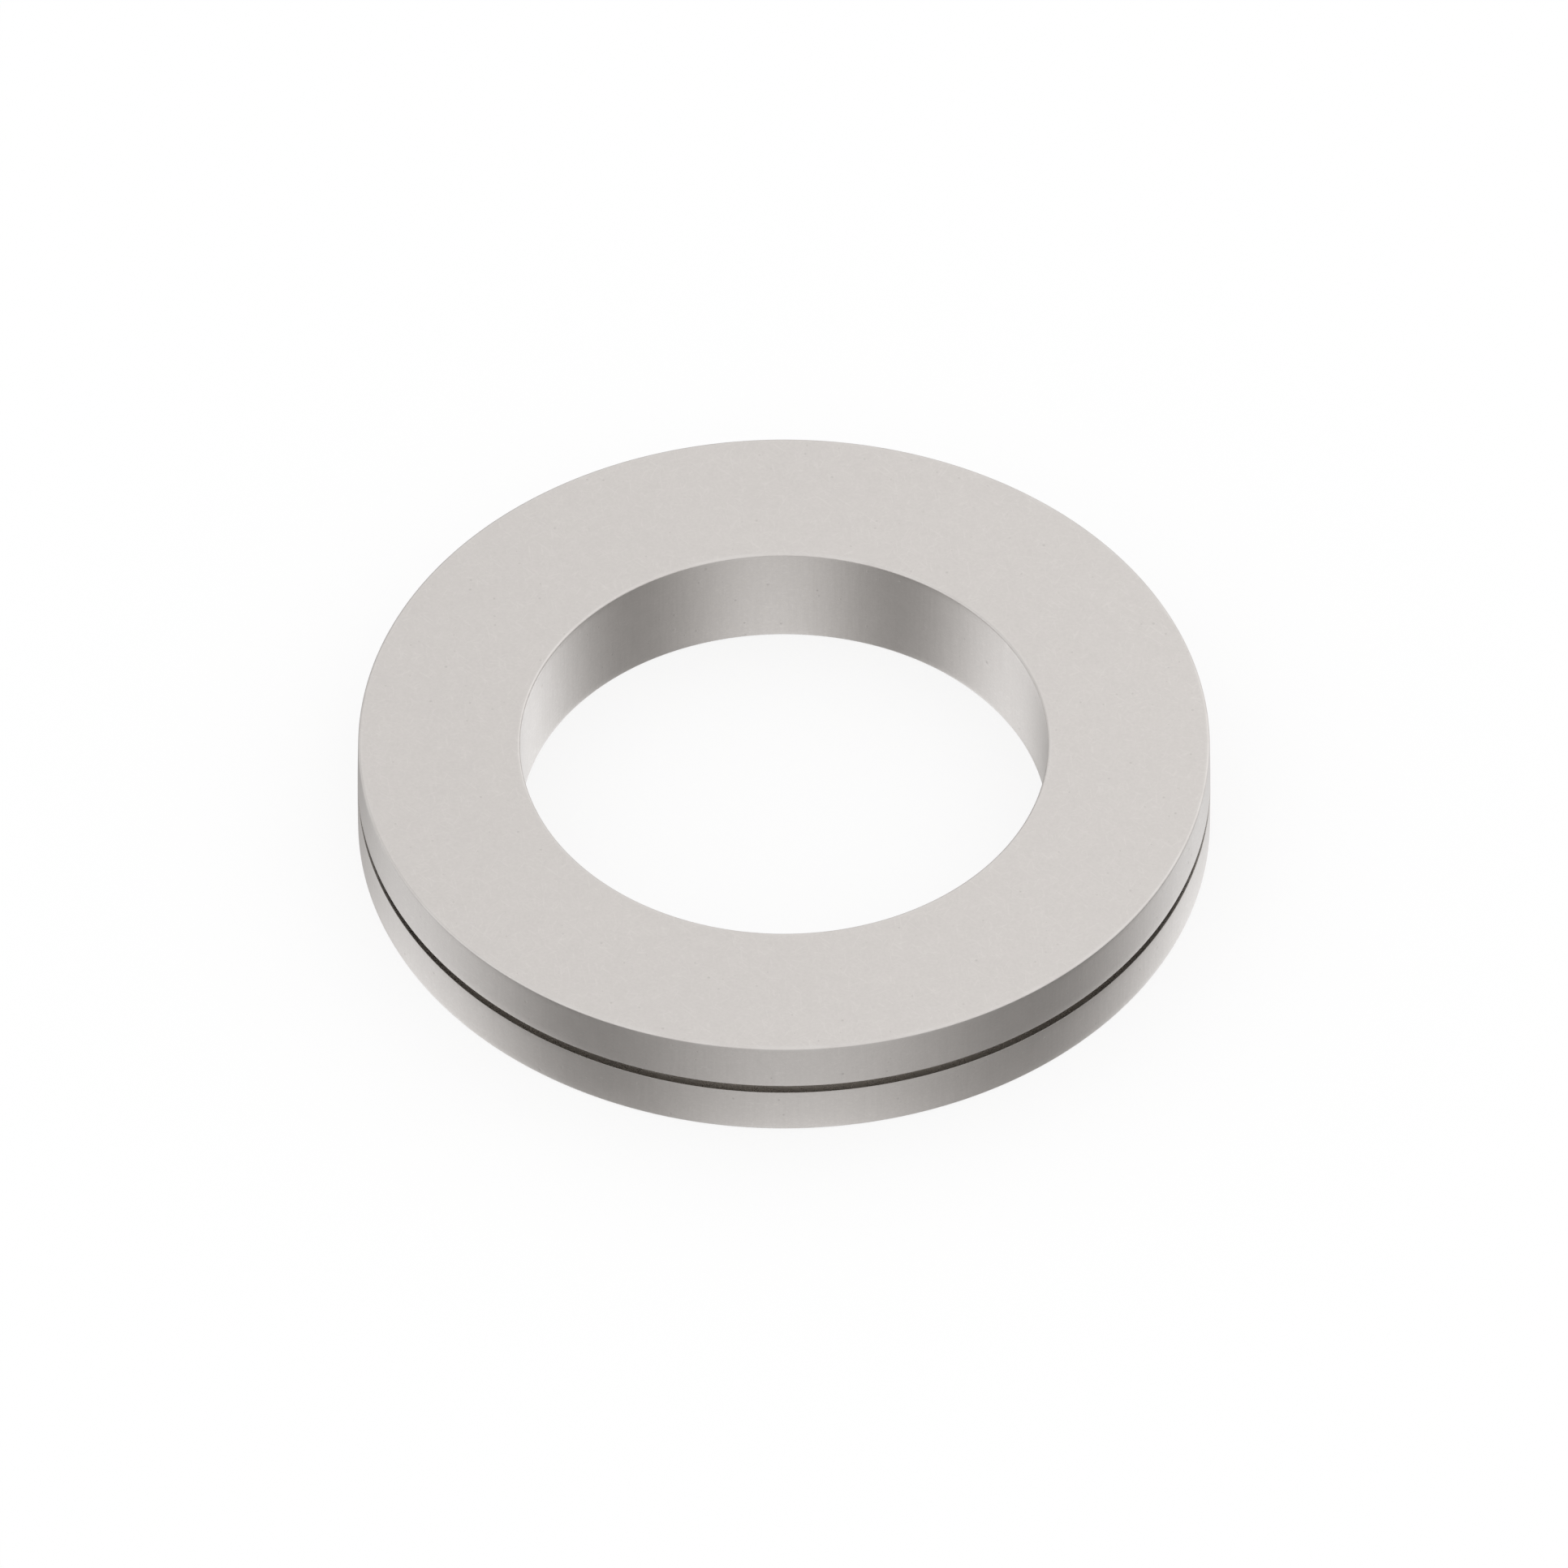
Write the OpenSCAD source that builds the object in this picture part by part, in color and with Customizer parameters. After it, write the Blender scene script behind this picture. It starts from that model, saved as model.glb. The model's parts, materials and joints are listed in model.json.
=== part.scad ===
// Wedge lock washer for an M10 bolt: two equal flat rings, bonded face to face.
// Each ring has ramps and flanks coined into its inner face, and the two sets of ramps mate.
// The ramps climb counter-clockwise as seen from the bolt head, so a right-hand bolt that
// turns loose has to lift its head up the ramps, and one that is tightened drives the flanks.

/* [Bolt hole] */
// Diameter of the bore, a close clearance hole for the bolt
bore_d = 10.5; // [8.4:0.1:12]

/* [Rings] */
// Outside diameter of both rings
outer_d = 17; // [16:0.1:24]
// Thickness of the closed pair, from outer face to outer face
pair_t = 2.3; // [1.8:0.1:3.6]
// Rounding of the edges at the two outer faces
edge_r = 0.05; // [0.02:0.01:0.15]

/* [Seam at the rim] */
// Height of the open seam between the two rims
seam_h = 0.19; // [0.18:0.01:0.4]
// How far the seam reaches in from the rim
seam_depth = 0.2; // [0.15:0.05:1]

/* [Wedge cams] */
// Number of ramps round each inner face
cam_count = 18; // [12:1:24]
// Rise of one ramp, measured at the rim's radius
cam_rise = 0.18; // [0.08:0.01:0.18]

/* [Hidden] */
$fn = 144;

bore_r = bore_d / 2;
outer_r = outer_d / 2;
// The plane halfway up the pair, about which the ramps rise and fall
mid_z = pair_t / 2;
// Flat land of the lower ring's rim, below the seam
land_z = mid_z - seam_h / 2;
// Crests of the lower ring's ramps
crest_z = mid_z + cam_rise / 2;
// Outside radius of the band that the ramps fill
cam_r = outer_r - seam_depth;
// Half of the angle that one ramp spans
cam_half_angle = 180 / cam_count;
// Slope of a ramp, a flat face tilted about the radial line through its middle
cam_tilt = atan(cam_rise / 2 / (outer_r * sin(cam_half_angle)));
// Cutters run this far past what they cut
over = 1;

// Half of a ring's cross-section at one outer edge, rounded at the corner that faces outward.
module edge_round(r, inward) {
    translate([r + inward * edge_r, edge_r])
        circle(edge_r);
}

// Cross-section of one ring before its ramps are cut, with the outer face on the axis below.
module ring_section() {
    translate([bore_r + edge_r, 0])
        square([outer_r - bore_r - 2 * edge_r, crest_z]);
    translate([bore_r, edge_r])
        square([outer_r - bore_r, crest_z - edge_r]);
    edge_round(bore_r, 1);
    edge_round(outer_r, -1);
}

// Plain ring with its rim cut back to the land, which leaves the seam open.
module ring_blank() {
    difference() {
        rotate_extrude()
            ring_section();
        translate([0, 0, land_z])
            difference() {
                cylinder(r = outer_r + over, h = crest_z);
                translate([0, 0, -over])
                    cylinder(r = cam_r, h = crest_z + 2 * over);
            }
    }
}

// Space above one ramp. It starts at the flank below the ramp's foot and runs past the crest,
// where the next ramp's space covers it.
module ramp_space() {
    reach = outer_d;
    from = -cam_half_angle;
    to = cam_half_angle * 1.5;
    intersection() {
        linear_extrude(pair_t)
            polygon([[0, 0], reach * [cos(from), sin(from)], reach * [cos(to), sin(to)]]);
        translate([0, 0, mid_z])
            rotate([cam_tilt, 0, 0])
                translate([0, -reach, 0])
                    cube([reach, 2 * reach, pair_t]);
    }
}

// One ring of the pair, outer face down. The first ramp is centred on the X axis, so a copy
// turned over about that axis mates with it on every ramp and flank.
module cam_ring() {
    difference() {
        ring_blank();
        for (i = [0:cam_count - 1])
            rotate(i * 360 / cam_count)
                ramp_space();
    }
}

module lower_washer() {
    color([0.80, 0.79, 0.77])
        cam_ring();
}

module upper_washer() {
    color([0.82, 0.81, 0.79])
        translate([0, 0, pair_t])
            rotate([180, 0, 0])
                cam_ring();
}

lower_washer();
upper_washer();
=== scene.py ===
"""Wedge lock washer for an M10 bolt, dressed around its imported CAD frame.

Two equal steel rings lie face to face. Each is grown by one Geometry Nodes tree from the same
named sizes, with its ring of ramps and flanks, and the upper ring is the lower one turned over.
"""

import json
import logging
import math
from dataclasses import dataclass
from enum import Enum
from typing import ClassVar

import bmesh
import bpy
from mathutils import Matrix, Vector


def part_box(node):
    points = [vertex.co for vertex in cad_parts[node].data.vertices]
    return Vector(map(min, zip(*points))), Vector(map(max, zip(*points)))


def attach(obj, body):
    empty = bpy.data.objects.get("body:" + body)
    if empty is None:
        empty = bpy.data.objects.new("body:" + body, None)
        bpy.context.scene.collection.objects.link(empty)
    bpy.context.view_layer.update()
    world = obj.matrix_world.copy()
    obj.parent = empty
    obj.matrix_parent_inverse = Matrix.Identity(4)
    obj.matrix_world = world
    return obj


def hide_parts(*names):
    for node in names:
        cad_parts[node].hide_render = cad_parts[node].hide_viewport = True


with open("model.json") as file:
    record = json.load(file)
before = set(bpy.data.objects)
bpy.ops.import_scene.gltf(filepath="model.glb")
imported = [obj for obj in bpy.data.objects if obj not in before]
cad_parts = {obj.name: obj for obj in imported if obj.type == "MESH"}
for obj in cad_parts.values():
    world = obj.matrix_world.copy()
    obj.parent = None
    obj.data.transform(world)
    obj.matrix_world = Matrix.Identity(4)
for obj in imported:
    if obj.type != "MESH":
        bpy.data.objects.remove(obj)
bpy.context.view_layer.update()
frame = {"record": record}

log = logging.getLogger("wedge_lock_washer")

MM = 0.001
BODY = "root"

Number = float | int
Operand = "Socket | Number"
Colour = tuple[float, float, float, float]


class Socket:
    """One output of a node, with Python's arithmetic on it.

    Args:
        graph: The graph that the node is in.
        output: The node's output socket.
    """

    def __init__(self, graph: "Graph", output: bpy.types.NodeSocket) -> None:
        """Keeps the output beside its graph."""
        self.graph = graph
        self.output = output

    def named(self, name: str) -> "Socket":
        """Another output of the same node, by its name."""
        return Socket(self.graph, self.output.node.outputs[name])

    def __add__(self, other: Operand) -> "Socket":
        """self + other."""
        return self.graph.math("ADD", self, other)

    def __radd__(self, other: Number) -> "Socket":
        """other + self."""
        return self.graph.math("ADD", other, self)

    def __sub__(self, other: Operand) -> "Socket":
        """self - other."""
        return self.graph.math("SUBTRACT", self, other)

    def __rsub__(self, other: Number) -> "Socket":
        """other - self."""
        return self.graph.math("SUBTRACT", other, self)

    def __mul__(self, other: Operand) -> "Socket":
        """self * other."""
        return self.graph.math("MULTIPLY", self, other)

    def __rmul__(self, other: Number) -> "Socket":
        """other * self."""
        return self.graph.math("MULTIPLY", other, self)

    def __truediv__(self, other: Operand) -> "Socket":
        """self / other."""
        return self.graph.math("DIVIDE", self, other)

    def __rtruediv__(self, other: Number) -> "Socket":
        """other / self."""
        return self.graph.math("DIVIDE", other, self)

    def __neg__(self) -> "Socket":
        """The value with its sign turned."""
        return self.graph.math("MULTIPLY", self, -1.0)


class Graph:
    """A node tree that is built by calls and by arithmetic on sockets.

    Args:
        tree: The shader or geometry tree that the nodes go into.
    """

    def __init__(self, tree: bpy.types.NodeTree) -> None:
        """Starts on a tree."""
        self.tree = tree

    @classmethod
    def blank(cls, owner: bpy.types.Material | bpy.types.World) -> "Graph":
        """Clears the nodes of a material or a world.

        Args:
            owner: The material or world.

        Returns:
            The graph of its empty tree.
        """
        owner.use_nodes = True
        owner.node_tree.nodes.clear()
        return cls(owner.node_tree)

    def node(
        self,
        kind: str,
        settings: dict[str, object] | None = None,
        values: dict[str | int, object] | None = None,
        output: str | int = 0,
    ) -> Socket:
        """Adds one node.

        Args:
            kind: The node's type.
            settings: Its own settings, which are set first.
            values: A number, colour, data-block or socket for each input, by identifier or place.
            output: The output to return, by name or place.

        Returns:
            That output of the new node.
        """
        made = self.tree.nodes.new(kind)
        for name, setting in (settings or {}).items():
            setattr(made, name, setting)
        for key, value in (values or {}).items():
            self.feed(made, key, value)
        return Socket(self, made.outputs[output] if made.outputs else None)

    def feed(self, node: bpy.types.Node, key: str | int, value: object) -> None:
        """Links a socket to a node's input, or sets the input's own value.

        Args:
            node: The node.
            key: The input's identifier, or its place.
            value: What goes into it.
        """
        entry = next(
            entry for place, entry in enumerate(node.inputs) if key in (place, entry.identifier)
        )
        if isinstance(value, Socket):
            self.tree.links.new(value.output, entry)
        else:
            entry.default_value = value

    def math(self, operation: str, *values: Operand) -> Socket:
        """Adds a Math node.

        Args:
            operation: The node's operation.
            values: Its inputs in order.

        Returns:
            The result.
        """
        return self.node("ShaderNodeMath", {"operation": operation}, dict(enumerate(values)))

    def hypotenuse(self, across: Socket, up: Socket) -> Socket:
        """The long side of a right triangle, from its two others."""
        return self.math("SQRT", across * across + up * up)

    def vector(self, x: Operand, y: Operand, z: Operand) -> Socket:
        """Joins three numbers into a vector."""
        return self.node("ShaderNodeCombineXYZ", values={0: x, 1: y, 2: z})

    def split(self, vector: Socket) -> tuple[Socket, Socket, Socket]:
        """The three numbers of a vector."""
        parts = self.node("ShaderNodeSeparateXYZ", values={0: vector})
        return parts, parts.named("Y"), parts.named("Z")

    def unit(self, vector: Socket) -> Socket:
        """The vector at a length of 1."""
        return self.node("ShaderNodeVectorMath", {"operation": "NORMALIZE"}, {0: vector})

    def place(self) -> Socket:
        """The place on the object, from its Object coordinates."""
        return self.node("ShaderNodeTexCoord", output="Object")

    def step(self, value: Socket, start: float, end: float) -> Socket:
        """A smooth step.

        Args:
            value: The number that the step follows.
            start: Where the step is 0.
            end: Where it is 1, which may lie below start.

        Returns:
            0 before the step, 1 after it.
        """
        settings = {"interpolation_type": "SMOOTHSTEP", "clamp": True}
        values = {0: value, 1: start, 2: end, 3: 0.0, 4: 1.0}
        if start > end:
            values = {0: value, 1: end, 2: start, 3: 1.0, 4: 0.0}
        return self.node("ShaderNodeMapRange", settings, values)

    def tint(self, blend: str, amount: Operand, first: object, second: object) -> Socket:
        """Mixes two colours.

        Args:
            blend: The Mix node's blend mode.
            amount: The share of the second colour.
            first: The colour that is mixed from.
            second: The colour that is mixed in.

        Returns:
            The mixed colour.
        """
        settings = {"data_type": "RGBA", "blend_type": blend}
        values = {"Factor_Float": amount, "A_Color": first, "B_Color": second}
        return self.node("ShaderNodeMix", settings, values, "Result")


@dataclass(frozen=True)
class RingSizes:
    """Sizes of the pair in metres.

    Those that the frame doesn't give repeat the values of the part's source, apart from the lips
    and the crown, which only the dressed rings have.

    Args:
        bore_radius: Radius of the bolt hole.
        outer_radius: Radius of the rim.
        thickness: Height of the closed pair.
        seam_height: Height of the open seam at the rim.
        seam_depth: How far the seam reaches in from the rim.
        cam_count: Number of ramps round each inner face.
        cam_rise: Rise of one ramp, measured at the rim's radius.
        edge_radius: Rounding of the edges at the outer faces.
        lip_radius: Rounding of the edges at the seam, of the rims and of the ramps' outer ends.
        crown: How much the blanked walls ease back between mid-height and the outer faces.
    """

    bore_radius: float
    outer_radius: float
    thickness: float
    seam_height: float = 0.19 * MM
    seam_depth: float = 0.2 * MM
    cam_count: int = 18
    cam_rise: float = 0.18 * MM
    edge_radius: float = 0.05 * MM
    lip_radius: float = 0.006 * MM
    crown: float = 0.01 * MM

    @classmethod
    def from_frame(cls) -> "RingSizes":
        """Takes the pair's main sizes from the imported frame.

        Returns:
            The sizes, with the bore from the record's mount and the rest from the nodes' boxes.
        """
        low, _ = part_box(Half.LOWER.node)
        _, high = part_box(Half.UPPER.node)
        mount = next(m for m in frame["record"]["mounts"] if m["name"] == "bolt_bore")
        return cls(
            bore_radius=mount["dims"]["r_mm"] * MM,
            outer_radius=(high.x - low.x) / 2,
            thickness=high.z - low.z,
        )

    @property
    def middle(self) -> float:
        """Height of the plane about which the ramps rise and fall."""
        return self.thickness / 2

    @property
    def cam_radius(self) -> float:
        """Outside radius of the band of ramps."""
        return self.outer_radius - self.seam_depth


class Half(Enum):
    """The two rings, each with its piece, its CAD node and which way up it lies."""

    LOWER = ("lower_ring", "lower_washer", False)
    UPPER = ("upper_ring", "upper_washer", True)

    def __init__(self, piece: str, node: str, turned_over: bool) -> None:
        """Names a ring's three values."""
        self.piece = piece
        self.node = node
        self.turned_over = turned_over


@dataclass(frozen=True)
class BlankedSteel:
    """Plain steel as it leaves the tumbling barrel: warm grey and satin.

    Marks in the colour are shares of the reflectance, changes of the satin are added to or taken
    from the roughness, and sizes and depths are in metres.

    Args:
        colour: Reflectance of the clean steel.
        painted_seam_shade: Painted shade inside the seam, a darker reflectance between the rings.
        worn_colour: Reflectance where handling has brightened the edges.
        clouds: How much the slow clouding changes the colour.
        mottle: How much the blotches change it.
        speckle: How much the finest grain changes it.
        nicks: How much the short tumbling nicks brighten.
        shear_lines: How much the upright lines of the press change the walls.
        pits: How much a pit darkens.
        roughness: Middle value of the satin finish.
        cloud_satin: How much the slow clouding changes the roughness.
        mottle_satin: How much the blotches change it.
        pit_satin: Roughness that a pit adds.
        nick_polish: Roughness that a nick takes away.
        wear_polish: Roughness that handling takes from the edges.
        seam_film: Roughness that oil and bonding film take from the faces in the seam.
        coining: Roughness that the press takes from the ramps.
        dent_depth: Height of the fine dents.
        line_depth: Depth of the press's upright lines.
        pit_depth: Depth of a pit.
        cloud_size: Width of the slow clouds.
        mottle_size: Width of the blotches.
        speckle_size: Width of the finest grain.
        dent_size: Width of the fine dents.
        line_width: Width of the press's upright lines.
        line_stretch: How much slower those lines change up the wall than round it.
        nick_width: Width of a nick.
        nick_stretch: How much slower a nick changes along than across.
        nick_turns: The nicks' directions, in degrees.
        pit_spacing: Distance from one possible pit to the next.
        wear_patch: Width of the patches in which the edges are worn.
        wear_reach: How far from an edge the wear ends.
        wear_full: How far from an edge it is full.
    """

    colour: Colour = (0.645, 0.616, 0.596, 1.0)
    # Painted shade: a darker colour for the seam between the rings
    painted_seam_shade: Colour = (0.51, 0.488, 0.465, 1.0)
    worn_colour: Colour = (0.69, 0.665, 0.645, 1.0)
    clouds: float = 0.03
    mottle: float = 0.05
    speckle: float = 0.09
    nicks: float = 0.03
    shear_lines: float = 0.06
    pits: float = 0.09
    roughness: float = 0.38
    cloud_satin: float = 0.06
    mottle_satin: float = 0.05
    pit_satin: float = 0.12
    nick_polish: float = 0.06
    wear_polish: float = 0.05
    seam_film: float = 0.1
    coining: float = 0.06
    dent_depth: float = 0.0016 * MM
    line_depth: float = 0.0012 * MM
    pit_depth: float = 0.002 * MM
    cloud_size: float = 3.2 * MM
    mottle_size: float = 0.4 * MM
    speckle_size: float = 0.06 * MM
    dent_size: float = 0.13 * MM
    line_width: float = 0.07 * MM
    line_stretch: float = 0.05
    nick_width: float = 0.035 * MM
    nick_stretch: float = 0.09
    nick_turns: tuple[float, ...] = (8.0, 47.0, 83.0, 119.0, 155.0)
    pit_spacing: float = 0.24 * MM
    wear_patch: float = 0.7 * MM
    wear_reach: float = 0.12 * MM
    wear_full: float = 0.03 * MM


class SteelShader:
    """Nodes of the steel, which read the place on the part from Object coordinates.

    Args:
        finish: The finish's values.
        sizes: Sizes of the pair, which place the worn edges, the walls and the seam.
    """

    # Masks change between these distances: in from an outer face, out from the bore, and up or
    # down from the middle of the pair. At the ramps' outer ends they change over this width.
    FACE_BAND = (0.03 * MM, 0.005 * MM)
    BORE_BAND = (0.01 * MM, 0.03 * MM)
    RAMP_BAND = (0.12 * MM, 0.09 * MM)
    RAMP_END = 0.02 * MM

    # Levels of the noise between which a nick or a worn patch comes up
    NICK_LEVELS = (0.70, 0.82)
    WEAR_LEVELS = (0.35, 0.65)
    # Wear all along an edge, and what a patch adds to it
    WEAR_SHARES = (0.1, 0.6)

    # A pit's least reach and what its cell adds to it, in spacings, the parts of that reach
    # between which it deepens, and the share of the cells that have none
    PIT_REACH = (0.05, 0.14)
    PIT_SLOPE = (1.0, 0.3)
    PITS_MISSING = 0.5

    def __init__(self, finish: BlankedSteel, sizes: RingSizes) -> None:
        """Makes the material, with the masks and marks that its sockets share."""
        self.finish = finish
        self.sizes = sizes
        self.material = bpy.data.materials.new("blanked_steel")
        self.graph = Graph.blank(self.material)
        self.place = self.graph.place()
        self.x, self.y, self.z = self.graph.split(self.place)
        self.radius = self.graph.hypotenuse(self.x, self.y)
        self.height = self.graph.math("ABSOLUTE", self.z - sizes.middle)
        start, end = (sizes.middle - reach for reach in self.FACE_BAND)
        self.face = self.graph.step(self.height, start, end)
        self.seam = self.inside_seam()
        self.wear = self.edge_wear()
        self.clouds = self.noise(finish.cloud_size, detail=2.0) - 0.5
        self.mottle = self.noise(finish.mottle_size, detail=3.0) - 0.5
        self.lines = self.shear_lines()
        self.pits = self.pitting()
        self.nicks = self.tumbling_nicks()

    def build(self) -> bpy.types.Material:
        """Joins the nodes to the shader.

        Returns:
            The steel, for both rings.
        """
        shader = self.graph.node(
            "ShaderNodeBsdfPrincipled",
            values={
                "Base Color": self.shade(),
                "Metallic": 1.0,
                "Roughness": self.satin(),
                "Normal": self.relief(),
            },
        )
        self.graph.node("ShaderNodeOutputMaterial", values={"Surface": shader})
        return self.material

    def shade(self) -> Socket:
        """Mixes the base colour.

        Returns:
            Clean steel with its marks, brighter at worn edges, with painted shade in the seam.
        """
        finish, graph = self.finish, self.graph
        speckle = self.noise(finish.speckle_size, detail=1.0) - 0.5
        level = (
            self.clouds * finish.clouds
            + self.mottle * finish.mottle
            + speckle * finish.speckle
            + self.lines * finish.shear_lines
            + self.nicks * finish.nicks
            - self.pits * finish.pits
            + 1.0
        )
        clean = graph.tint("MULTIPLY", 1.0, finish.colour, graph.vector(level, level, level))
        worn = graph.tint("MIX", self.wear, clean, finish.worn_colour)
        # Painted shade: the seam between the rings takes a darker colour than the clean steel
        return graph.tint("MIX", self.seam, worn, finish.painted_seam_shade)

    def satin(self) -> Socket:
        """Works out the roughness.

        Returns:
            A satin that varies slowly, duller in pits and smoother where rubbed or coined.
        """
        finish = self.finish
        return (
            self.clouds * finish.cloud_satin
            + self.mottle * finish.mottle_satin
            + self.pits * finish.pit_satin
            - self.nicks * finish.nick_polish
            - self.wear * finish.wear_polish
            - self.seam * finish.seam_film
            - self.coined() * finish.coining
            + finish.roughness
        )

    def relief(self) -> Socket:
        """Works out the fine relief.

        Returns:
            A normal with dents, pits and the press's upright lines, which film fills in the seam.
        """
        finish = self.finish
        dents = self.noise(finish.dent_size, detail=2.0) * finish.dent_depth
        lines = self.lines * finish.line_depth
        height = (dents + lines - self.pits * finish.pit_depth) * (1.0 - self.seam)
        values = {"Height": height / finish.pit_depth, "Distance": finish.pit_depth}
        return self.graph.node("ShaderNodeBump", values=values)

    def noise(self, size: float, detail: float, at: Socket | None = None) -> Socket:
        """Noise from 0 to 1.

        Args:
            size: Width of its blotches.
            detail: How many finer layers it has.
            at: Where it is read, if not at the place itself.

        Returns:
            The noise.
        """
        values = {"Vector": at or self.place, "Scale": 1.0 / size, "Detail": detail}
        return self.graph.node("ShaderNodeTexNoise", values=values)

    def shear_lines(self) -> Socket:
        """Draws the upright lines that the press leaves on the walls.

        Returns:
            The lines, from -0.5 to 0.5 on the walls and 0 on the faces.
        """
        finish = self.finish
        drawn = self.graph.vector(self.x, self.y, self.z * finish.line_stretch)
        lines = self.noise(finish.line_width, detail=2.0, at=drawn) - 0.5
        return lines * (1.0 - self.face)

    def tumbling_nicks(self) -> Socket:
        """Draws short fine nicks in several directions.

        Returns:
            The nicks, from 0 to 1.
        """
        finish, graph = self.finish, self.graph
        total: Operand = 0.0
        for turn in finish.nick_turns:
            cos, sin = math.cos(math.radians(turn)), math.sin(math.radians(turn))
            across = self.x * cos + self.y * sin
            along = self.y * cos - self.x * sin
            drawn = graph.vector(across, along * finish.nick_stretch, self.z + turn * MM)
            grain = self.noise(finish.nick_width, detail=0.0, at=drawn)
            total = graph.step(grain, *self.NICK_LEVELS) + total
        return graph.math("MINIMUM", total, 1.0)

    def pitting(self) -> Socket:
        """Scatters sparse small pits.

        Returns:
            The pits, from 0 to 1.
        """
        values = {"Vector": self.place, "Scale": 1.0 / self.finish.pit_spacing}
        cells = self.graph.node("ShaderNodeTexVoronoi", {"feature": "F1"}, values, "Distance")
        chance, size, _ = self.graph.split(cells.named("Color"))
        least, more = self.PIT_REACH
        pit = self.graph.step(cells / (size * more + least), *self.PIT_SLOPE)
        return pit * self.graph.math("GREATER_THAN", chance, self.PITS_MISSING)

    def edge_wear(self) -> Socket:
        """Masks the four outer edges, broken up by noise.

        Returns:
            The wear, from 0 to 1.
        """
        finish, graph, sizes = self.finish, self.graph, self.sizes
        rise = sizes.middle - self.height
        aside = graph.math(
            "MINIMUM",
            graph.math("ABSOLUTE", self.radius - sizes.bore_radius),
            graph.math("ABSOLUTE", self.radius - sizes.outer_radius),
        )
        edge = graph.step(graph.hypotenuse(aside, rise), finish.wear_reach, finish.wear_full)
        patches = graph.step(self.noise(finish.wear_patch, detail=3.0), *self.WEAR_LEVELS)
        least, more = self.WEAR_SHARES
        return edge * (patches * more + least)

    def inside_seam(self) -> Socket:
        """Masks the faces between the rims, lips included.

        Returns:
            The mask, from 0 to 1.
        """
        graph, sizes = self.graph, self.sizes
        open_height = sizes.seam_height / 2 + sizes.lip_radius
        between = graph.step(self.height, open_height + sizes.lip_radius, open_height)
        outside = graph.step(self.radius, sizes.cam_radius - self.RAMP_END, sizes.cam_radius)
        return between * outside

    def coined(self) -> Socket:
        """Masks the ramps between the rings.

        Returns:
            The mask, from 0 to 1.
        """
        graph, sizes = self.graph, self.sizes
        within = graph.step(self.radius, sizes.cam_radius, sizes.cam_radius - self.RAMP_END)
        start, end = (sizes.bore_radius + reach for reach in self.BORE_BAND)
        beyond_bore = graph.step(self.radius, start, end)
        return within * beyond_bore * graph.step(self.height, *self.RAMP_BAND)


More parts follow.
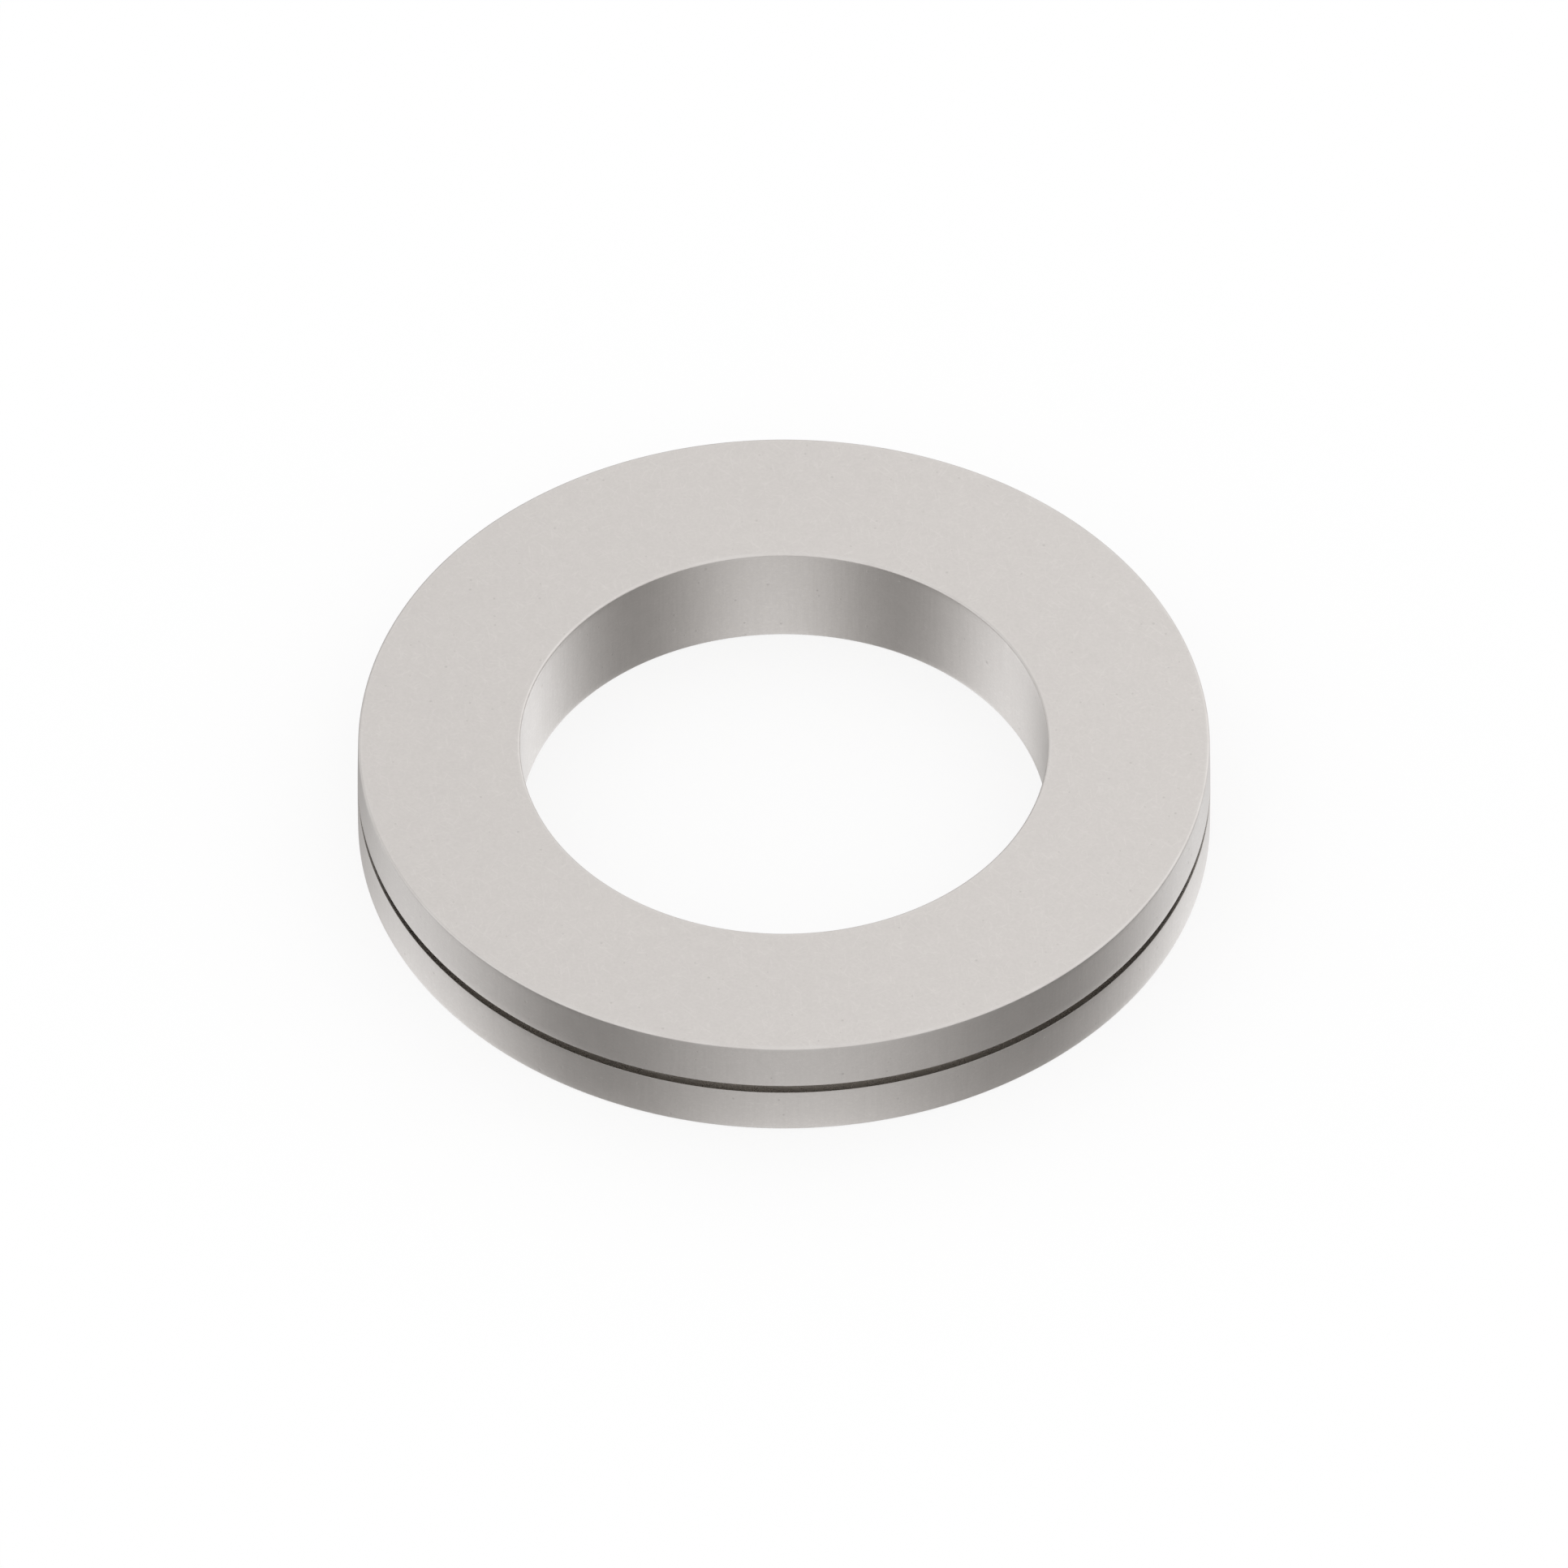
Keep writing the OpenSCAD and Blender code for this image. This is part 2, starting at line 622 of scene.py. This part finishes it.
class RingTree:
    """Geometry Nodes tree of one ring.

    The cross-section is a polyline with rounded corners. It is swept through one ramp's angle,
    lifted along the ramp, closed with the flank, and repeated round the axis.
    """

    NUMBERS = (
        "Bore Radius", "Outer Radius", "Cam Radius", "Middle", "Seam Height",
        "Cam Rise", "Edge Radius", "Lip Radius", "Crown",
    )
    COUNTS = ("Cam Count", "Steps Per Cam", "Steps Per Edge", "Wall Cuts", "Turned Over")

    # Places in the cross-section's list of corners, and the corners that start its two walls
    BORE_EDGE, RIM_EDGE, RIM_LIP, RAMP_LIP = 0, 1, 2, 5
    RIM_WALL, BORE_WALL = 1, 7

    # Half of the step between whole numbers, so that rounding can't mix up two of them
    HALF_STEP = 0.5
    # Points nearer than this become one, and edges that bend more than this stay sharp
    WELD = 0.0005 * MM
    SHARP = math.radians(40)

    def __init__(self) -> None:
        """Makes the tree, with its named inputs and its nodes."""
        self.tree = bpy.data.node_groups.new("cam_ring", "GeometryNodeTree")
        self.graph = Graph(self.tree)
        self.identifiers: dict[str, str] = {}
        for name in self.NUMBERS:
            self.declare(name, "NodeSocketFloat")
        for name in self.COUNTS:
            self.declare(name, "NodeSocketInt")
        self.declare("Material", "NodeSocketMaterial")
        self.tree.interface.new_socket("Ring", in_out="OUTPUT", socket_type="NodeSocketGeometry")
        self.entry = self.graph.node("NodeGroupInput")
        self.grow()

    def declare(self, name: str, kind: str) -> None:
        """Adds a named input to the tree."""
        made = self.tree.interface.new_socket(name, in_out="INPUT", socket_type=kind)
        self.identifiers[name] = made.identifier

    def size(self, name: str) -> Socket:
        """The value of a named input."""
        return self.entry.named(name)

    def foot(self, radius: Operand) -> Socket:
        """Height of a ramp's foot at a radius."""
        return self.size("Middle") - self.size("Cam Rise") / 2 * radius / self.size("Outer Radius")

    def at(self, index: Socket, place: Operand) -> Socket:
        """1 on the point of that index, 0 on the others."""
        return self.graph.math("COMPARE", index, place, self.HALF_STEP)

    def corners(self) -> tuple[tuple[Socket, Operand], ...]:
        """Lists the corners of the cross-section.

        Returns:
            Their radii and heights, from the bore along the outer face to the rim and back.
        """
        bore, outer, cam = (self.size(f"{name} Radius") for name in ("Bore", "Outer", "Cam"))
        middle = self.size("Middle")
        land = middle - self.size("Seam Height") / 2
        return (
            (bore, 0.0), (outer, 0.0), (outer, land), (cam, land),
            (cam, self.foot(cam)), (cam, middle), (bore, middle), (bore, self.foot(bore)),
        )

    def outline(self, index: Socket) -> Socket:
        """Joins the corners.

        Args:
            index: The index of a point.

        Returns:
            A closed curve with one point for each corner, its radius as x and its height as z.
        """
        graph, corners = self.graph, self.corners()
        chooser = graph.node("GeometryNodeIndexSwitch", {"data_type": "VECTOR"}).output.node
        while len(chooser.index_switch_items) < len(corners):
            chooser.index_switch_items.new()
        graph.feed(chooser, "Index", index)
        for place, (radius, height) in enumerate(corners):
            graph.feed(chooser, f"Item_{place}", graph.vector(radius, 0.0, height))
        dots = graph.node("GeometryNodeMeshLine", values={"Count": len(corners)})
        spread = graph.node(
            "GeometryNodeSetPosition",
            values={"Geometry": dots, "Position": Socket(graph, chooser.outputs[0])},
        )
        line = graph.node("GeometryNodeMeshToCurve", values={"Mesh": spread})
        return graph.node("GeometryNodeSetSplineCyclic", values={"Geometry": line, "Cyclic": True})

    def section(self) -> Socket:
        """Draws the cross-section.

        Returns:
            A closed curve, outer face down, with its walls cut and its edges and lips rounded.
        """
        graph = self.graph
        index = graph.node("GeometryNodeInputIndex")
        cuts = self.size("Wall Cuts")
        walls = self.at(index, self.RIM_WALL) + self.at(index, self.BORE_WALL)
        cut = graph.node(
            "GeometryNodeSubdivideCurve",
            values={"Curve": self.outline(index), "Cuts": walls * cuts},
        )
        edges = self.at(index, self.BORE_EDGE) + self.at(index, self.RIM_EDGE)
        lips = self.at(index, cuts + self.RIM_LIP) + self.at(index, cuts + self.RAMP_LIP)
        return graph.node(
            "GeometryNodeFilletCurve",
            {"mode": "POLY"},
            {
                "Curve": cut,
                "Count": (edges + lips) * (self.size("Steps Per Edge") - 1) + 1,
                "Radius": edges * self.size("Edge Radius") + lips * self.size("Lip Radius"),
            },
        )

    def sector(self) -> Socket:
        """Sweeps the section through one ramp and closes it with the flank.

        Returns:
            A mesh centred on the x axis, one column past the ramp's crest.
        """
        graph = self.graph
        section = self.section()
        points = graph.node(
            "GeometryNodeAttributeDomainSize", {"component": "CURVE"}, {"Geometry": section}
        )
        steps = self.size("Steps Per Cam")
        # A column for each step and one to end the last, then the flank's, each a closed section
        grid = graph.node(
            "GeometryNodeMeshGrid", values={"Vertices X": steps + 2, "Vertices Y": points + 1}
        )
        index = graph.node("GeometryNodeInputIndex")
        column = graph.math("FLOOR", (index + self.HALF_STEP) / (points + 1))
        row = graph.math("MODULO", index - column * (points + 1), points)
        spot = graph.node(
            "GeometryNodeSampleIndex",
            {"data_type": "FLOAT_VECTOR", "domain": "POINT"},
            {
                "Geometry": section,
                "Value": graph.node("GeometryNodeInputPosition"),
                "Index": row,
            },
        )
        radius, _, height = graph.split(spot)
        half_angle = math.pi / self.size("Cam Count")
        turn = graph.math("MINIMUM", column, steps) / steps * 2 - 1
        angle = turn * half_angle
        past_crest = graph.math("GREATER_THAN", column, steps + self.HALF_STEP)
        wave = graph.math("SINE", angle) / graph.math("SINE", half_angle)
        wave = wave * (1 - past_crest) - past_crest
        above_foot = graph.math("MAXIMUM", height - self.foot(radius), 0.0)
        lifted = height + above_foot * wave
        eased = self.eased(radius, lifted)
        place = graph.vector(
            eased * graph.math("COSINE", angle), eased * graph.math("SINE", angle), lifted
        )
        return graph.node("GeometryNodeSetPosition", values={"Geometry": grid, "Position": place})

    def eased(self, radius: Socket, height: Socket) -> Socket:
        """A radius with the walls' crown.

        Args:
            radius: The radius on the true cylinder.
            height: The height above the outer face.

        Returns:
            The radius drawn in at the rim, or let out in the bore, towards the outer face.
        """
        bore, outer = self.size("Bore Radius"), self.size("Outer Radius")
        across = 1 - (radius - bore) / (outer - bore) * 2
        away = (self.size("Middle") - height) / self.size("Middle")
        return radius + self.size("Crown") * across * away * away

    def grow(self) -> None:
        """Repeats the sector round the axis, turns the ring over if asked, and dresses it."""
        graph = self.graph
        dots = graph.node(
            "GeometryNodeMeshLine",
            values={"Count": self.size("Cam Count"), "Offset": (0.0, 0.0, 0.0)},
        )
        index = graph.node("GeometryNodeInputIndex")
        turn = graph.vector(0.0, 0.0, index * (2 * math.pi) / self.size("Cam Count"))
        copies = graph.node(
            "GeometryNodeInstanceOnPoints",
            values={"Points": dots, "Instance": self.sector(), "Rotation": turn},
        )
        over = self.size("Turned Over")
        placed = graph.node(
            "GeometryNodeTransform",
            values={
                "Geometry": copies,
                "Translation": graph.vector(0.0, 0.0, over * self.size("Middle") * 2),
                "Rotation": graph.vector(over * math.pi, 0.0, 0.0),
            },
        )
        whole = graph.node("GeometryNodeRealizeInstances", values={"Geometry": placed})
        welded = graph.node(
            "GeometryNodeMergeByDistance", values={"Geometry": whole, "Distance": self.WELD}
        )
        smooth = graph.node("GeometryNodeSetShadeSmooth", values={"Geometry": welded})
        bend = graph.node("GeometryNodeInputMeshEdgeAngle")
        creased = graph.node(
            "GeometryNodeSetShadeSmooth",
            {"domain": "EDGE"},
            {
                "Geometry": smooth,
                "Selection": graph.math("GREATER_THAN", bend, self.SHARP),
                "Shade Smooth": False,
            },
        )
        dressed = graph.node(
            "GeometryNodeSetMaterial",
            values={"Geometry": creased, "Material": self.size("Material")},
        )
        graph.node("NodeGroupOutput", values={0: dressed})


@dataclass
class WasherPair:
    """The two rings.

    Args:
        sizes: Sizes of the pair.
        steps_per_cam: Columns through one ramp's angle.
        steps_per_edge: Segments round a rounded edge.
        wall_cuts: Extra points up each wall, which carry its crown.
    """

    # The largest face at a corner sets its normal. Areas are in square metres, so only ones
    # this close count as equal.
    AREA_WEIGHT: ClassVar[int] = 100
    EQUAL_AREA: ClassVar[float] = 1e-10

    sizes: RingSizes
    steps_per_cam: int = 20
    steps_per_edge: int = 6
    wall_cuts: int = 5

    def build(self) -> list[bpy.types.Object]:
        """Grows both rings and ties each to its CAD node.

        Returns:
            The lower and the upper ring.
        """
        tree = RingTree()
        steel = SteelShader(BlankedSteel(), self.sizes).build()
        return [self.ring(half, tree, steel) for half in Half]

    def ring(self, half: Half, tree: RingTree, steel: bpy.types.Material) -> bpy.types.Object:
        """Grows one ring as a plain mesh.

        Args:
            half: Which ring.
            tree: The tree that grows it.
            steel: Its material.

        Returns:
            The ring, which rides on the part's body and replaces its CAD node.
        """
        host = bpy.data.objects.new(half.piece, bpy.data.meshes.new(half.piece))
        bpy.context.scene.collection.objects.link(host)
        grown = host.modifiers.new("cam_ring", "NODES")
        grown.node_group = tree.tree
        for name, value in self.inputs(half, steel).items():
            grown[tree.identifiers[name]] = value
        flat = host.modifiers.new("flat_faces", "WEIGHTED_NORMAL")
        flat.mode = "FACE_AREA_WITH_ANGLE"
        flat.weight = self.AREA_WEIGHT
        flat.thresh = self.EQUAL_AREA
        flat.keep_sharp = True
        ready = host.evaluated_get(bpy.context.evaluated_depsgraph_get())
        mesh = bpy.data.meshes.new_from_object(ready)
        host.modifiers.clear()
        mesh.materials.clear()
        mesh.materials.append(steel)
        host.data = mesh
        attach(host, BODY)
        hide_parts(half.node)
        log.info("%s: %d faces", half.piece, len(mesh.polygons))
        return host

    def inputs(self, half: Half, steel: bpy.types.Material) -> dict[str, object]:
        """Gathers the values of the tree's inputs for one ring.

        Args:
            half: Which ring.
            steel: Its material.

        Returns:
            The values by the inputs' names.
        """
        sizes = self.sizes
        return {
            "Bore Radius": sizes.bore_radius,
            "Outer Radius": sizes.outer_radius,
            "Cam Radius": sizes.cam_radius,
            "Middle": sizes.middle,
            "Seam Height": sizes.seam_height,
            "Cam Rise": sizes.cam_rise,
            "Edge Radius": sizes.edge_radius,
            "Lip Radius": sizes.lip_radius,
            "Crown": sizes.crown,
            "Cam Count": sizes.cam_count,
            "Steps Per Cam": self.steps_per_cam,
            "Steps Per Edge": self.steps_per_edge,
            "Wall Cuts": self.wall_cuts,
            "Turned Over": int(half.turned_over),
            "Material": steel,
        }


@dataclass(frozen=True)
class Strip:
    """A soft upright strip in the studio's lower half, seen only as a reflection.

    Args:
        azimuth: Its direction seen from the part, from the lens round to the right, in degrees.
        tightness: How quickly it fades to either side.
        depth: How much of the white it takes away, or adds where it is negative.
    """

    azimuth: float
    tightness: float
    depth: float

    def direction(self) -> Vector:
        """Level unit vector from the part to the strip's middle."""
        turn = math.radians(self.azimuth)
        return Vector((math.sin(turn), -math.cos(turn), 0.0))

    def shade(self, graph: Graph, heading: Socket) -> Socket:
        """Works out how much the strip takes away.

        Args:
            graph: The tent's graph.
            heading: Level unit vector from the middle of the tent.

        Returns:
            The strip's depth at its middle, fading to both sides.
        """
        towards = graph.node(
            "ShaderNodeVectorMath",
            {"operation": "DOT_PRODUCT"},
            {0: heading, 1: self.direction()},
            "Value",
        )
        return graph.math("EXPONENT", (towards - 1.0) * self.tightness) * self.depth


@dataclass
class Studio:
    """White studio: floor, surroundings, a tent for the reflections, and the camera.

    Args:
        sizes: Sizes of the pair, which the camera is aimed by.
        camera_elevation: The camera's angle above the horizon, in degrees.
        camera_distance: Distance from the lens to the middle of the pair.
        camera_reach: Nearest and furthest distance that the lens sees.
        frame_width: Width of the square picture at the part.
        white: Colour of the floor and of the surroundings.
        floor_width: Side of the square floor.
        floor_drop: How far the floor lies below the part, so that the two don't touch.
        shadow_left: Share of the part's shadow that the lens sees on the floor.
        near_light: Share of the light from below that is lost away from the part.
        near_outside: How far round the rim the floor keeps its full light.
        near_inside: How far from the bore's wall it does.
        dome_radius: Radius of the tent's upper half, near enough to shade the top face across.
        bowl_radius: Radius of its lower half, so far that both walls mirror it alike.
        tent_mesh: Segments of the tent round it, and from its top to its bottom.
        tent_below: Level of its white below the horizon.
        tent_slope: How much the lower half gains towards straight below.
        plain_angle: Angle below the horizon where it gains nothing, in degrees.
        tent_above: Level of its white above the horizon.
        tent_side: How much the upper half gains behind the part towards the right.
        dim_tone: Tint of the tent where it is dim.
        bright_tone: Tint of the tent where it is bright.
        bright_level: Level at which the lower half has the bright tint.
        upper_tone: Share of the bright tint in the upper half.
        strips: Dim and bright strips that shade the walls.
    """

    sizes: RingSizes
    camera_elevation: float = 45.77
    camera_distance: float = 0.1
    camera_reach: tuple[float, float] = (0.001, 10.0)
    frame_width: float = 31.26 * MM
    white: Colour = (1.0, 1.0, 1.0, 1.0)
    floor_width: float = 2.0
    floor_drop: float = 0.01 * MM
    shadow_left: float = 0.2
    near_light: float = 0.22
    near_outside: float = 0.7 * MM
    near_inside: float = 3.6 * MM
    dome_radius: float = 0.12
    bowl_radius: float = 1.0
    tent_mesh: tuple[int, int] = (96, 48)
    tent_below: float = 1.495
    tent_slope: float = 0.3
    plain_angle: float = 45.0
    tent_above: float = 1.0
    tent_side: float = 1.1
    dim_tone: Colour = (1.0, 0.975, 0.945, 1.0)
    bright_tone: Colour = (1.0, 1.008, 1.015, 1.0)
    bright_level: float = 1.3
    upper_tone: float = 0.69
    strips: tuple[Strip, ...] = (
        Strip(azimuth=-52.7, tightness=3.9, depth=1.165),
        Strip(azimuth=70.3, tightness=2.26, depth=1.2),
        Strip(azimuth=-168.0, tightness=5.7, depth=1.2),
        Strip(azimuth=136.0, tightness=8.6, depth=-0.28),
    )

    def build(self) -> None:
        """Makes the surroundings, the floor, the tent and the camera."""
        bpy.context.scene.view_settings.view_transform = "Standard"
        self.surroundings()
        self.floor()
        self.tent()
        self.camera()

    @staticmethod
    def put(name: str, data: bpy.types.ID) -> bpy.types.Object:
        """Puts an object into the scene.

        Args:
            name: Its name.
            data: Its mesh or camera.

        Returns:
            The object.
        """
        made = bpy.data.objects.new(name, data)
        bpy.context.scene.collection.objects.link(made)
        return made

    def surroundings(self) -> None:
        """Lights the part evenly from a white world."""
        world = bpy.data.worlds.new("white_studio")
        graph = Graph.blank(world)
        light = graph.node("ShaderNodeBackground", values={"Color": self.white, "Strength": 1.0})
        graph.node("ShaderNodeOutputWorld", values={"Surface": light})
        bpy.context.scene.world = world

    def floor(self) -> bpy.types.Object:
        """Lays the white floor.

        Returns:
            The floor, a flat square just below the part.
        """
        reach = self.floor_width / 2
        corners = ((-reach, -reach), (reach, -reach), (reach, reach), (-reach, reach))
        mesh = bpy.data.meshes.new("floor")
        mesh.from_pydata([(x, y, -self.floor_drop) for x, y in corners], [], [(0, 1, 2, 3)])
        mesh.materials.append(self.floor_material())
        return self.put("floor", mesh)

    def floor_material(self) -> bpy.types.Material:
        """Makes the floor's white.

        Returns:
            A white that keeps part of the part's shadow before the lens. Reflections pass
            through it to the tent, and lose a little on the way, except close to the part.
        """
        material = bpy.data.materials.new("white_floor")
        graph = Graph.blank(material)
        lit = graph.node("ShaderNodeBsdfDiffuse", values={"Color": self.white})
        plain = graph.node("ShaderNodeEmission", values={"Color": self.white})
        lens = graph.node("ShaderNodeLightPath", output="Is Camera Ray")
        blend = lens * (1.0 - self.shadow_left)
        seen = graph.node("ShaderNodeMixShader", values={0: blend, 1: lit, 2: plain})
        clear = graph.node("ShaderNodeBsdfTransparent", values={"Color": self.near_part(graph)})
        mirrored = lens.named("Is Glossy Ray")
        both = graph.node("ShaderNodeMixShader", values={0: mirrored, 1: seen, 2: clear})
        graph.node("ShaderNodeOutputMaterial", values={"Surface": both})
        return material

    def near_part(self, graph: Graph) -> Socket:
        """Works out how clear the floor is to reflections.

        Args:
            graph: The floor's graph.

        Returns:
            A grey that is white at the part's walls and dimmer away from them.
        """
        x, y, _ = graph.split(graph.place())
        radius = graph.hypotenuse(x, y)
        outside = (radius - self.sizes.outer_radius) / self.near_outside
        inside = (self.sizes.bore_radius - radius) / self.near_inside
        away = graph.math("MAXIMUM", graph.math("MAXIMUM", outside, inside), 0.0)
        near = graph.math("EXPONENT", -away)
        level = 1.0 - (1.0 - near) * self.near_light
        return graph.vector(level, level, level)

    def tent(self) -> bpy.types.Object:
        """Makes the white tent round the part, which only the steel reflects.

        Returns:
            The tent, a dome above the horizon and a wider bowl below it.
        """
        around, down = self.tent_mesh
        shape = bmesh.new()
        bmesh.ops.create_uvsphere(shape, u_segments=around, v_segments=down, radius=self.dome_radius)
        first_row = -self.dome_radius * math.sin(math.pi / down)
        for corner in shape.verts:
            if corner.co.z < first_row / 2:
                corner.co *= self.bowl_radius / self.dome_radius
        mesh = bpy.data.meshes.new("light_tent")
        shape.to_mesh(mesh)
        shape.free()
        mesh.shade_smooth()
        mesh.materials.append(self.tent_material())
        tent = self.put("light_tent", mesh)
        tent.visible_camera = False
        tent.visible_diffuse = False
        tent.visible_shadow = False
        tent.visible_transmission = False
        return tent

    def tent_material(self) -> bpy.types.Material:
        """Makes the tent's glow.

        Returns:
            White emission, brighter to the right above the horizon, and dimmed by the strips
            below it.
        """
        material = bpy.data.materials.new("tent_white")
        material.cycles.emission_sampling = "NONE"
        graph = Graph.blank(material)
        x, y, z = graph.split(graph.unit(graph.place()))
        heading = graph.unit(graph.vector(x, y, 0.0))
        below: Operand = self.tent_below
        for strip in self.strips:
            below = below - strip.shade(graph, heading)
        plain_height = -math.sin(math.radians(self.plain_angle))
        below = below * (1.0 - (z - plain_height) * self.tent_slope)
        above = x * graph.math("MAXIMUM", y, 0.0) * z * self.tent_side + self.tent_above
        over = graph.math("GREATER_THAN", z, 0.0)
        level = graph.math("MAXIMUM", above * over + below * (1.0 - over), 0.0)
        warmth = level * (1.0 - over) / self.bright_level + over * self.upper_tone
        tone = graph.tint("MIX", warmth, self.dim_tone, self.bright_tone)
        glow = graph.node("ShaderNodeEmission", values={"Color": tone, "Strength": level})
        graph.node("ShaderNodeOutputMaterial", values={"Surface": glow})
        return material

    def camera(self) -> None:
        """Aims the camera at the middle of the pair, from the photograph's height."""
        lens = bpy.data.cameras.new("camera")
        lens.type = "ORTHO"
        lens.ortho_scale = self.frame_width
        lens.clip_start, lens.clip_end = self.camera_reach
        rise = math.radians(self.camera_elevation)
        back = Vector((0.0, -math.cos(rise), math.sin(rise)))
        made = self.put("camera", lens)
        made.location = Vector((0.0, 0.0, self.sizes.middle)) + back * self.camera_distance
        made.rotation_euler = (-back).to_track_quat("-Z", "Y").to_euler()
        bpy.context.scene.camera = made


def main() -> None:
    """Builds the washer and its studio."""
    logging.basicConfig(level=logging.INFO, format="%(name)s: %(message)s")
    sizes = RingSizes.from_frame()
    for piece in WasherPair(sizes).build():
        log.info("%s rides on %s", piece.name, BODY)
    Studio(sizes).build()


if __name__ == "__main__":
    main()
